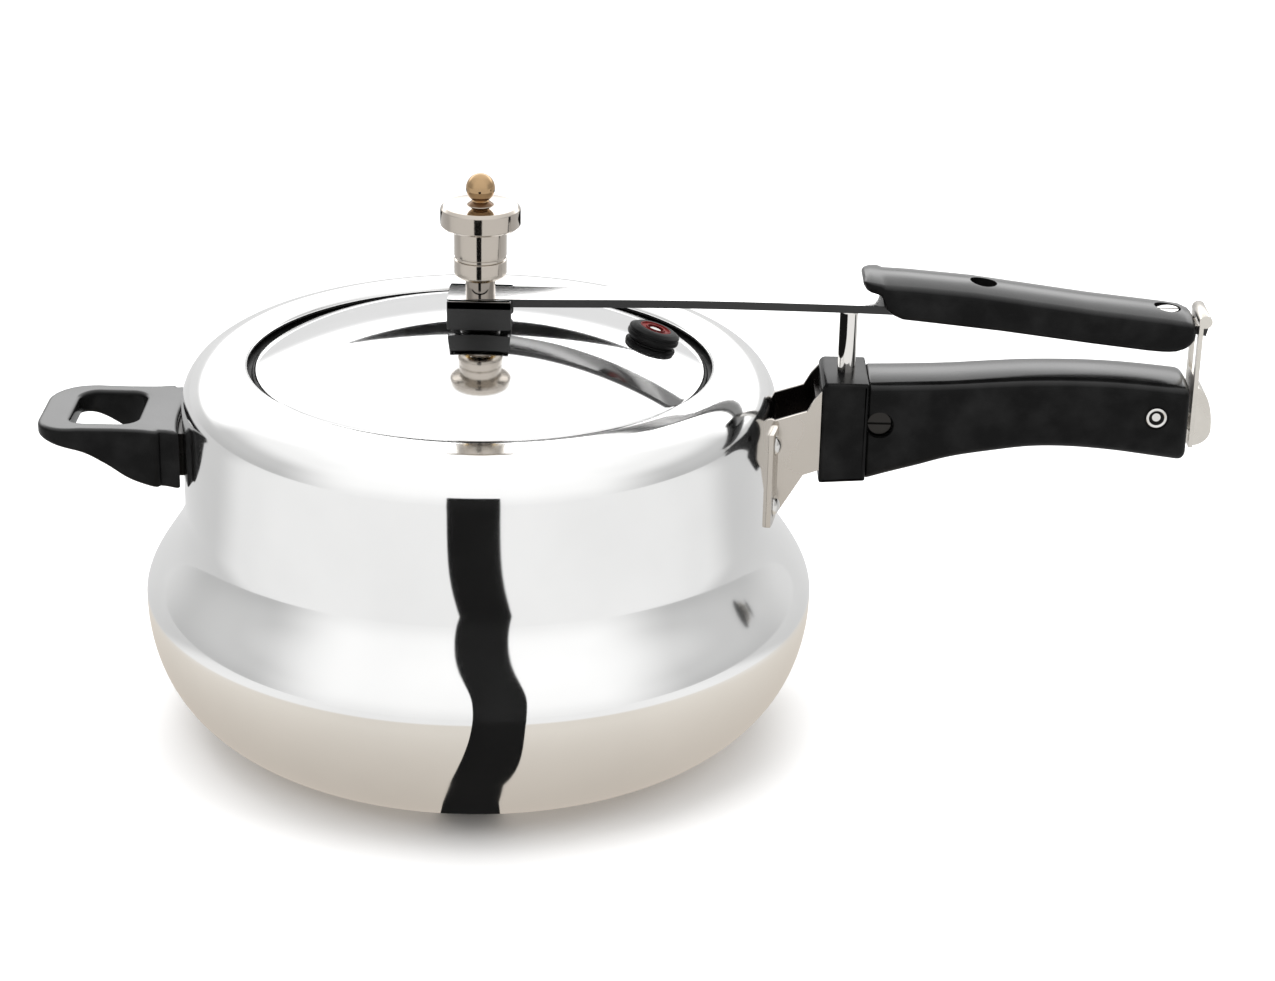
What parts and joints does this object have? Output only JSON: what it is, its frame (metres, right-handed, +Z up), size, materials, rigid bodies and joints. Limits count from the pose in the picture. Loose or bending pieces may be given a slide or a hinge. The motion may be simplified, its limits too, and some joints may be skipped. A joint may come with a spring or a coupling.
{
  "type": "stovetop pressure cooker",
  "caption": "Stovetop pressure cooker with an inner oval lid, lever bar, latch loop, vent weight, safety valve and two handles.",
  "frame": {"origin": "middle of the flat base, on the axis of the pot", "axes": "+Z up along the pot axis, +X along the long handle"},
  "size_m": [0.4152, 0.24, 0.2035],
  "materials": {
    "polished_aluminium": "mirror polished",
    "bracket_steel": "satin",
    "plated_steel": "satin",
    "chrome": "polished",
    "black_phenolic": "semi-gloss moulded",
    "weight_plating": "polished nickel",
    "bar_steel": "polished",
    "black_rubber": "matt",
    "red_rubber": "matt",
    "fusible_alloy": "dull",
    "brass": "turned",
    "loop_steel": "satin"
  },
  "bodies": {
    "pot": {"pot_body": "polished_aluminium", "handle_bracket": "bracket_steel", "bracket_rivets": "plated_steel", "handle_block": "black_phenolic", "body_handle": "black_phenolic", "handle_bolt": "plated_steel", "handle_bolt_nut": "plated_steel", "grip_screw": "plated_steel", "fulcrum_post": "chrome", "loop_bracket": "bracket_steel", "loop_pin": "plated_steel", "side_bracket": "bracket_steel", "side_rivets": "plated_steel", "side_handle": "black_phenolic", "side_handle_screw": "plated_steel"},
    "lever": {"lid_bar": "bar_steel", "lid_handle": "black_phenolic", "lid_handle_screws": "plated_steel"},
    "lid": {"lid": "polished_aluminium", "gasket": "black_rubber", "vent_tube": "chrome", "vent_washer": "chrome", "vent_seal": "black_rubber", "vent_lock_nut": "brass", "shackle_collar": "bar_steel", "shackle_pins": "plated_steel", "valve_cap": "black_rubber", "valve_ring": "red_rubber", "valve_plug": "fusible_alloy", "valve_nut": "brass"},
    "weight": {"weight_jacket": "weight_plating", "weight_core": "brass", "weight_needle": "plated_steel", "weight_clip": "plated_steel", "weight_cap": "weight_plating", "weight_knob": "brass"},
    "loop": {"locking_loop": "loop_steel"}
  },
  "joints": [
    {"name": "lever_tilt", "type": "hinge", "parent": "pot", "child": "lever", "pos_m": [0.1295, 0, 0.1556], "axis": [0, -1, 0], "range_deg": [0, 5]},
    {"name": "lid_level", "type": "hinge", "parent": "lever", "child": "lid", "pos_m": [0, 0, 0.154], "axis": [0, -1, 0], "range_deg": [-5, 0]},
    {"name": "loop_swing", "type": "hinge", "parent": "pot", "child": "loop", "pos_m": [0.246, 0, 0.114], "axis": [0, 1, 0], "range_deg": [0, 100]},
    {"name": "weight_lift", "type": "slide", "parent": "lid", "child": "weight", "axis": [0, 0, 1], "range_m": [0, 0.03]}
  ],
  "couplings": [
    {"joint": "lid_level", "follows": "lever_tilt", "ratio": -1},
    {"joint": "loop_swing", "follows": "lever_tilt", "ratio": 20}
  ]
}
